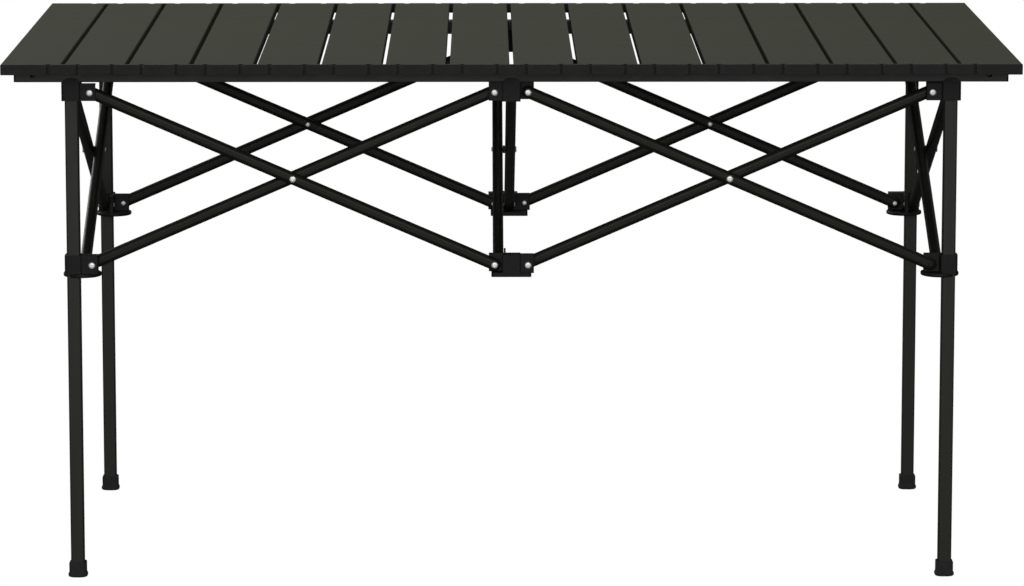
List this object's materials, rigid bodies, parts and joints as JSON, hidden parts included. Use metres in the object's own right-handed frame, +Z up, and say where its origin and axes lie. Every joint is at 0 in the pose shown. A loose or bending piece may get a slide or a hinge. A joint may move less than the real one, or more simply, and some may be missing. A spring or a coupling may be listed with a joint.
{
  "type": "folding table",
  "caption": "Folding camp table: a roll-up top of slats on two rails, on a frame of four square legs joined by scissor arms.",
  "frame": {"origin": "on the floor, under the middle of the table", "axes": "+X along the table's length, +Y from front to back, +Z up"},
  "size_m": [1.2, 0.715, 0.632],
  "materials": {
    "slat": "matt dark olive-grey powder coat",
    "rail": "matt black coat",
    "frame_tube": "satin dark grey coat",
    "bracket": "fine-grained moulded black plastic",
    "foot": "matt black",
    "rivet": "satin bare metal"
  },
  "bodies": {
    "front_middle": {"top_middle_bracket_front": "bracket"},
    "rear_middle": {"top_middle_bracket_rear": "bracket"},
    "front_low_middle": {"low_middle_bracket_front": "bracket"},
    "rear_low_middle": {"low_middle_bracket_rear": "bracket"},
    "leg_front_left": {"leg_front_left": "frame_tube", "upper_bracket_front_left": "bracket", "foot_front_left": "foot"},
    "slider_front_left": {"slider_front_left": "bracket"},
    "leg_front_right": {"leg_front_right": "frame_tube", "upper_bracket_front_right": "bracket", "foot_front_right": "foot"},
    "slider_front_right": {"slider_front_right": "bracket"},
    "leg_rear_left": {"leg_rear_left": "frame_tube", "upper_bracket_rear_left": "bracket", "foot_rear_left": "foot"},
    "slider_rear_left": {"slider_rear_left": "bracket"},
    "leg_rear_right": {"leg_rear_right": "frame_tube", "upper_bracket_rear_right": "bracket", "foot_rear_right": "foot"},
    "slider_rear_right": {"slider_rear_right": "bracket"},
    "arm_middle_outer": {"arm_middle_outer": "frame_tube", "cross_rivet_middle": "rivet"},
    "arm_middle_inner": {"arm_middle_inner": "frame_tube"},
    "arm_front_left_outer": {"arm_front_left_outer": "frame_tube"},
    "arm_front_left_inner": {"arm_front_left_inner": "frame_tube", "cross_rivet_front_left": "rivet"},
    "arm_front_right_outer": {"arm_front_right_outer": "frame_tube", "cross_rivet_front_right": "rivet"},
    "arm_front_right_inner": {"arm_front_right_inner": "frame_tube"},
    "arm_rear_left_outer": {"arm_rear_left_outer": "frame_tube", "cross_rivet_rear_left": "rivet"},
    "arm_rear_left_inner": {"arm_rear_left_inner": "frame_tube"},
    "arm_rear_right_outer": {"arm_rear_right_outer": "frame_tube"},
    "arm_rear_right_inner": {"arm_rear_right_inner": "frame_tube", "cross_rivet_rear_right": "rivet"},
    "arm_left_outer": {"arm_left_outer": "frame_tube", "cross_rivet_left": "rivet"},
    "arm_left_inner": {"arm_left_inner": "frame_tube"},
    "arm_right_outer": {"arm_right_outer": "frame_tube", "cross_rivet_right": "rivet"},
    "arm_right_inner": {"arm_right_inner": "frame_tube"},
    "rail_front": {"rail_front": "rail"},
    "rail_rear": {"rail_rear": "rail"},
    "slat_01": {"slat_01": "slat"},
    "slat_02": {"slat_02": "slat"},
    "slat_03": {"slat_03": "slat"},
    "slat_04": {"slat_04": "slat"},
    "slat_05": {"slat_05": "slat"},
    "slat_06": {"slat_06": "slat"},
    "slat_07": {"slat_07": "slat"},
    "slat_08": {"slat_08": "slat"},
    "slat_09": {"slat_09": "slat"},
    "slat_10": {"slat_10": "slat"},
    "slat_11": {"slat_11": "slat"},
    "slat_12": {"slat_12": "slat"},
    "slat_13": {"slat_13": "slat"},
    "slat_14": {"slat_14": "slat"},
    "slat_15": {"slat_15": "slat"},
    "slat_16": {"slat_16": "slat"}
  },
  "joints": [
    {"name": "frame_fold", "type": "hinge", "parent": "front_middle", "child": "arm_middle_outer", "pos_m": [0, -0.241, 0.589], "axis": [-1, 0, 0], "range_deg": [0, 63.6]},
    {"name": "cross_middle", "type": "hinge", "parent": "arm_middle_outer", "child": "arm_middle_inner", "pos_m": [-0.00785, 0, 0.485], "axis": [1, 0, 0], "range_deg": [0, 127.2]},
    {"name": "pivot_rear_middle_top", "type": "hinge", "parent": "arm_middle_inner", "child": "rear_middle", "pos_m": [-0.0157, 0.241, 0.589], "axis": [-1, 0, 0], "range_deg": [0, 63.6]},
    {"name": "pivot_rear_middle_low", "type": "hinge", "parent": "arm_middle_outer", "child": "rear_low_middle", "pos_m": [0, 0.241, 0.381], "axis": [1, 0, 0], "range_deg": [0, 63.6]},
    {"name": "pivot_front_middle_right", "type": "hinge", "parent": "front_middle", "child": "arm_front_right_outer", "pos_m": [0.02, -0.26855, 0.589], "axis": [0, 1, 0], "range_deg": [0, 63.6]},
    {"name": "cross_front_right", "type": "hinge", "parent": "arm_front_right_outer", "child": "arm_front_right_inner", "pos_m": [0.261, -0.2619, 0.485], "axis": [0, -1, 0], "range_deg": [0, 127.2]},
    {"name": "pivot_leg_front_right", "type": "hinge", "parent": "arm_front_right_inner", "child": "leg_front_right", "pos_m": [0.502, -0.25525, 0.589], "axis": [0, 1, 0], "range_deg": [0, 63.6]},
    {"name": "pivot_slider_front_right", "type": "hinge", "parent": "arm_front_right_outer", "child": "slider_front_right", "pos_m": [0.502, -0.26855, 0.381], "axis": [0, -1, 0], "range_deg": [0, 63.6]},
    {"name": "pivot_front_middle_left", "type": "hinge", "parent": "front_middle", "child": "arm_front_left_inner", "pos_m": [-0.02, -0.25525, 0.589], "axis": [0, -1, 0], "range_deg": [0, 63.6]},
    {"name": "cross_front_left", "type": "hinge", "parent": "arm_front_left_inner", "child": "arm_front_left_outer", "pos_m": [-0.261, -0.2619, 0.485], "axis": [0, 1, 0], "range_deg": [0, 127.2]},
    {"name": "pivot_leg_front_left", "type": "hinge", "parent": "arm_front_left_outer", "child": "leg_front_left", "pos_m": [-0.502, -0.26855, 0.589], "axis": [0, -1, 0], "range_deg": [0, 63.6]},
    {"name": "pivot_slider_front_left", "type": "hinge", "parent": "arm_front_left_inner", "child": "slider_front_left", "pos_m": [-0.502, -0.25525, 0.381], "axis": [0, 1, 0], "range_deg": [0, 63.6]},
    {"name": "pivot_front_middle_low", "type": "hinge", "parent": "arm_front_left_outer", "child": "front_low_middle", "pos_m": [-0.02, -0.26855, 0.381], "axis": [0, -1, 0], "range_deg": [0, 63.6]},
    {"name": "pivot_rear_middle_left", "type": "hinge", "parent": "rear_middle", "child": "arm_rear_left_outer", "pos_m": [-0.02, 0.26855, 0.589], "axis": [0, -1, 0], "range_deg": [0, 63.6]},
    {"name": "cross_rear_left", "type": "hinge", "parent": "arm_rear_left_outer", "child": "arm_rear_left_inner", "pos_m": [-0.261, 0.2619, 0.485], "axis": [0, 1, 0], "range_deg": [0, 127.2]},
    {"name": "pivot_leg_rear_left", "type": "hinge", "parent": "arm_rear_left_inner", "child": "leg_rear_left", "pos_m": [-0.502, 0.25525, 0.589], "axis": [0, -1, 0], "range_deg": [0, 63.6]},
    {"name": "pivot_slider_rear_left", "type": "hinge", "parent": "arm_rear_left_outer", "child": "slider_rear_left", "pos_m": [-0.502, 0.26855, 0.381], "axis": [0, 1, 0], "range_deg": [0, 63.6]},
    {"name": "pivot_rear_middle_right", "type": "hinge", "parent": "rear_middle", "child": "arm_rear_right_inner", "pos_m": [0.02, 0.25525, 0.589], "axis": [0, 1, 0], "range_deg": [0, 63.6]},
    {"name": "cross_rear_right", "type": "hinge", "parent": "arm_rear_right_inner", "child": "arm_rear_right_outer", "pos_m": [0.261, 0.2619, 0.485], "axis": [0, -1, 0], "range_deg": [0, 127.2]},
    {"name": "pivot_leg_rear_right", "type": "hinge", "parent": "arm_rear_right_outer", "child": "leg_rear_right", "pos_m": [0.502, 0.26855, 0.589], "axis": [0, 1, 0], "range_deg": [0, 63.6]},
    {"name": "pivot_slider_rear_right", "type": "hinge", "parent": "arm_rear_right_inner", "child": "slider_rear_right", "pos_m": [0.502, 0.25525, 0.381], "axis": [0, -1, 0], "range_deg": [0, 63.6]},
    {"name": "pivot_leg_front_left_side", "type": "hinge", "parent": "leg_front_left", "child": "arm_left_outer", "pos_m": [-0.52555, -0.241, 0.589], "axis": [-1, 0, 0], "range_deg": [0, 63.6]},
    {"name": "cross_left", "type": "hinge", "parent": "arm_left_outer", "child": "arm_left_inner", "pos_m": [-0.51875, 0, 0.485], "axis": [1, 0, 0], "range_deg": [0, 127.2]},
    {"name": "pivot_leg_front_right_side", "type": "hinge", "parent": "leg_front_right", "child": "arm_right_outer", "pos_m": [0.52555, -0.241, 0.589], "axis": [-1, 0, 0], "range_deg": [0, 63.6]},
    {"name": "cross_right", "type": "hinge", "parent": "arm_right_outer", "child": "arm_right_inner", "pos_m": [0.51875, 0, 0.485], "axis": [1, 0, 0], "range_deg": [0, 127.2]},
    {"name": "top_lift", "type": "slide", "parent": "front_middle", "child": "slat_01", "axis": [0, 0, 1], "range_m": [0, 0.25]},
    {"name": "rail_lift_front", "type": "slide", "parent": "front_middle", "child": "rail_front", "axis": [0, 0, 1], "range_m": [0, 0.25]},
    {"name": "rail_lift_rear", "type": "slide", "parent": "rear_middle", "child": "rail_rear", "axis": [0, 0, 1], "range_m": [0, 0.25]},
    {"name": "top_roll", "type": "hinge", "parent": "slat_15", "child": "slat_16", "pos_m": [0.52719, 0, 0.629], "axis": [0, -1, 0], "range_deg": [0, 56]},
    {"name": "roll_01_02", "type": "hinge", "parent": "slat_01", "child": "slat_02", "pos_m": [-0.52719, 0, 0.629], "axis": [0, -1, 0], "range_deg": [0, 35.35]},
    {"name": "roll_02_03", "type": "hinge", "parent": "slat_02", "child": "slat_03", "pos_m": [-0.45188, 0, 0.629], "axis": [0, -1, 0], "range_deg": [0, 36.54]},
    {"name": "roll_03_04", "type": "hinge", "parent": "slat_03", "child": "slat_04", "pos_m": [-0.37656, 0, 0.629], "axis": [0, -1, 0], "range_deg": [0, 37.75]},
    {"name": "roll_04_05", "type": "hinge", "parent": "slat_04", "child": "slat_05", "pos_m": [-0.30125, 0, 0.629], "axis": [0, -1, 0], "range_deg": [0, 38.98]},
    {"name": "roll_05_06", "type": "hinge", "parent": "slat_05", "child": "slat_06", "pos_m": [-0.22594, 0, 0.629], "axis": [0, -1, 0], "range_deg": [0, 40.23]},
    {"name": "roll_06_07", "type": "hinge", "parent": "slat_06", "child": "slat_07", "pos_m": [-0.15063, 0, 0.629], "axis": [0, -1, 0], "range_deg": [0, 41.5]},
    {"name": "roll_07_08", "type": "hinge", "parent": "slat_07", "child": "slat_08", "pos_m": [-0.07531, 0, 0.629], "axis": [0, -1, 0], "range_deg": [0, 42.8]},
    {"name": "roll_08_09", "type": "hinge", "parent": "slat_08", "child": "slat_09", "pos_m": [0, 0, 0.629], "axis": [0, -1, 0], "range_deg": [0, 44.14]},
    {"name": "roll_09_10", "type": "hinge", "parent": "slat_09", "child": "slat_10", "pos_m": [0.07531, 0, 0.629], "axis": [0, -1, 0], "range_deg": [0, 45.52]},
    {"name": "roll_10_11", "type": "hinge", "parent": "slat_10", "child": "slat_11", "pos_m": [0.15063, 0, 0.629], "axis": [0, -1, 0], "range_deg": [0, 46.94]},
    {"name": "roll_11_12", "type": "hinge", "parent": "slat_11", "child": "slat_12", "pos_m": [0.22594, 0, 0.629], "axis": [0, -1, 0], "range_deg": [0, 48.42]},
    {"name": "roll_12_13", "type": "hinge", "parent": "slat_12", "child": "slat_13", "pos_m": [0.30125, 0, 0.629], "axis": [0, -1, 0], "range_deg": [0, 49.98]},
    {"name": "roll_13_14", "type": "hinge", "parent": "slat_13", "child": "slat_14", "pos_m": [0.37656, 0, 0.629], "axis": [0, -1, 0], "range_deg": [0, 51.65]},
    {"name": "roll_14_15", "type": "hinge", "parent": "slat_14", "child": "slat_15", "pos_m": [0.45188, 0, 0.629], "axis": [0, -1, 0], "range_deg": [0, 53.5]}
  ],
  "couplings": [
    {"joint": "cross_middle", "follows": "frame_fold", "ratio": 2},
    {"joint": "pivot_rear_middle_top", "follows": "frame_fold", "ratio": 1},
    {"joint": "pivot_rear_middle_low", "follows": "frame_fold", "ratio": 1},
    {"joint": "pivot_front_middle_right", "follows": "frame_fold", "ratio": 1},
    {"joint": "cross_front_right", "follows": "frame_fold", "ratio": 2},
    {"joint": "pivot_leg_front_right", "follows": "frame_fold", "ratio": 1},
    {"joint": "pivot_slider_front_right", "follows": "frame_fold", "ratio": 1},
    {"joint": "pivot_front_middle_left", "follows": "frame_fold", "ratio": 1},
    {"joint": "cross_front_left", "follows": "frame_fold", "ratio": 2},
    {"joint": "pivot_leg_front_left", "follows": "frame_fold", "ratio": 1},
    {"joint": "pivot_slider_front_left", "follows": "frame_fold", "ratio": 1},
    {"joint": "pivot_front_middle_low", "follows": "frame_fold", "ratio": 1},
    {"joint": "pivot_rear_middle_left", "follows": "frame_fold", "ratio": 1},
    {"joint": "cross_rear_left", "follows": "frame_fold", "ratio": 2},
    {"joint": "pivot_leg_rear_left", "follows": "frame_fold", "ratio": 1},
    {"joint": "pivot_slider_rear_left", "follows": "frame_fold", "ratio": 1},
    {"joint": "pivot_rear_middle_right", "follows": "frame_fold", "ratio": 1},
    {"joint": "cross_rear_right", "follows": "frame_fold", "ratio": 2},
    {"joint": "pivot_leg_rear_right", "follows": "frame_fold", "ratio": 1},
    {"joint": "pivot_slider_rear_right", "follows": "frame_fold", "ratio": 1},
    {"joint": "pivot_leg_front_left_side", "follows": "frame_fold", "ratio": 1},
    {"joint": "cross_left", "follows": "frame_fold", "ratio": 2},
    {"joint": "pivot_leg_front_right_side", "follows": "frame_fold", "ratio": 1},
    {"joint": "cross_right", "follows": "frame_fold", "ratio": 2},
    {"joint": "rail_lift_front", "follows": "top_lift", "ratio": 1},
    {"joint": "rail_lift_rear", "follows": "top_lift", "ratio": 1},
    {"joint": "roll_01_02", "follows": "top_roll", "ratio": 0.63132},
    {"joint": "roll_02_03", "follows": "top_roll", "ratio": 0.65254},
    {"joint": "roll_03_04", "follows": "top_roll", "ratio": 0.67409},
    {"joint": "roll_04_05", "follows": "top_roll", "ratio": 0.69601},
    {"joint": "roll_05_06", "follows": "top_roll", "ratio": 0.71832},
    {"joint": "roll_06_07", "follows": "top_roll", "ratio": 0.74109},
    {"joint": "roll_07_08", "follows": "top_roll", "ratio": 0.76437},
    {"joint": "roll_08_09", "follows": "top_roll", "ratio": 0.78825},
    {"joint": "roll_09_10", "follows": "top_roll", "ratio": 0.81281},
    {"joint": "roll_10_11", "follows": "top_roll", "ratio": 0.83822},
    {"joint": "roll_11_12", "follows": "top_roll", "ratio": 0.86467},
    {"joint": "roll_12_13", "follows": "top_roll", "ratio": 0.89249},
    {"joint": "roll_13_14", "follows": "top_roll", "ratio": 0.92227},
    {"joint": "roll_14_15", "follows": "top_roll", "ratio": 0.95536}
  ]
}
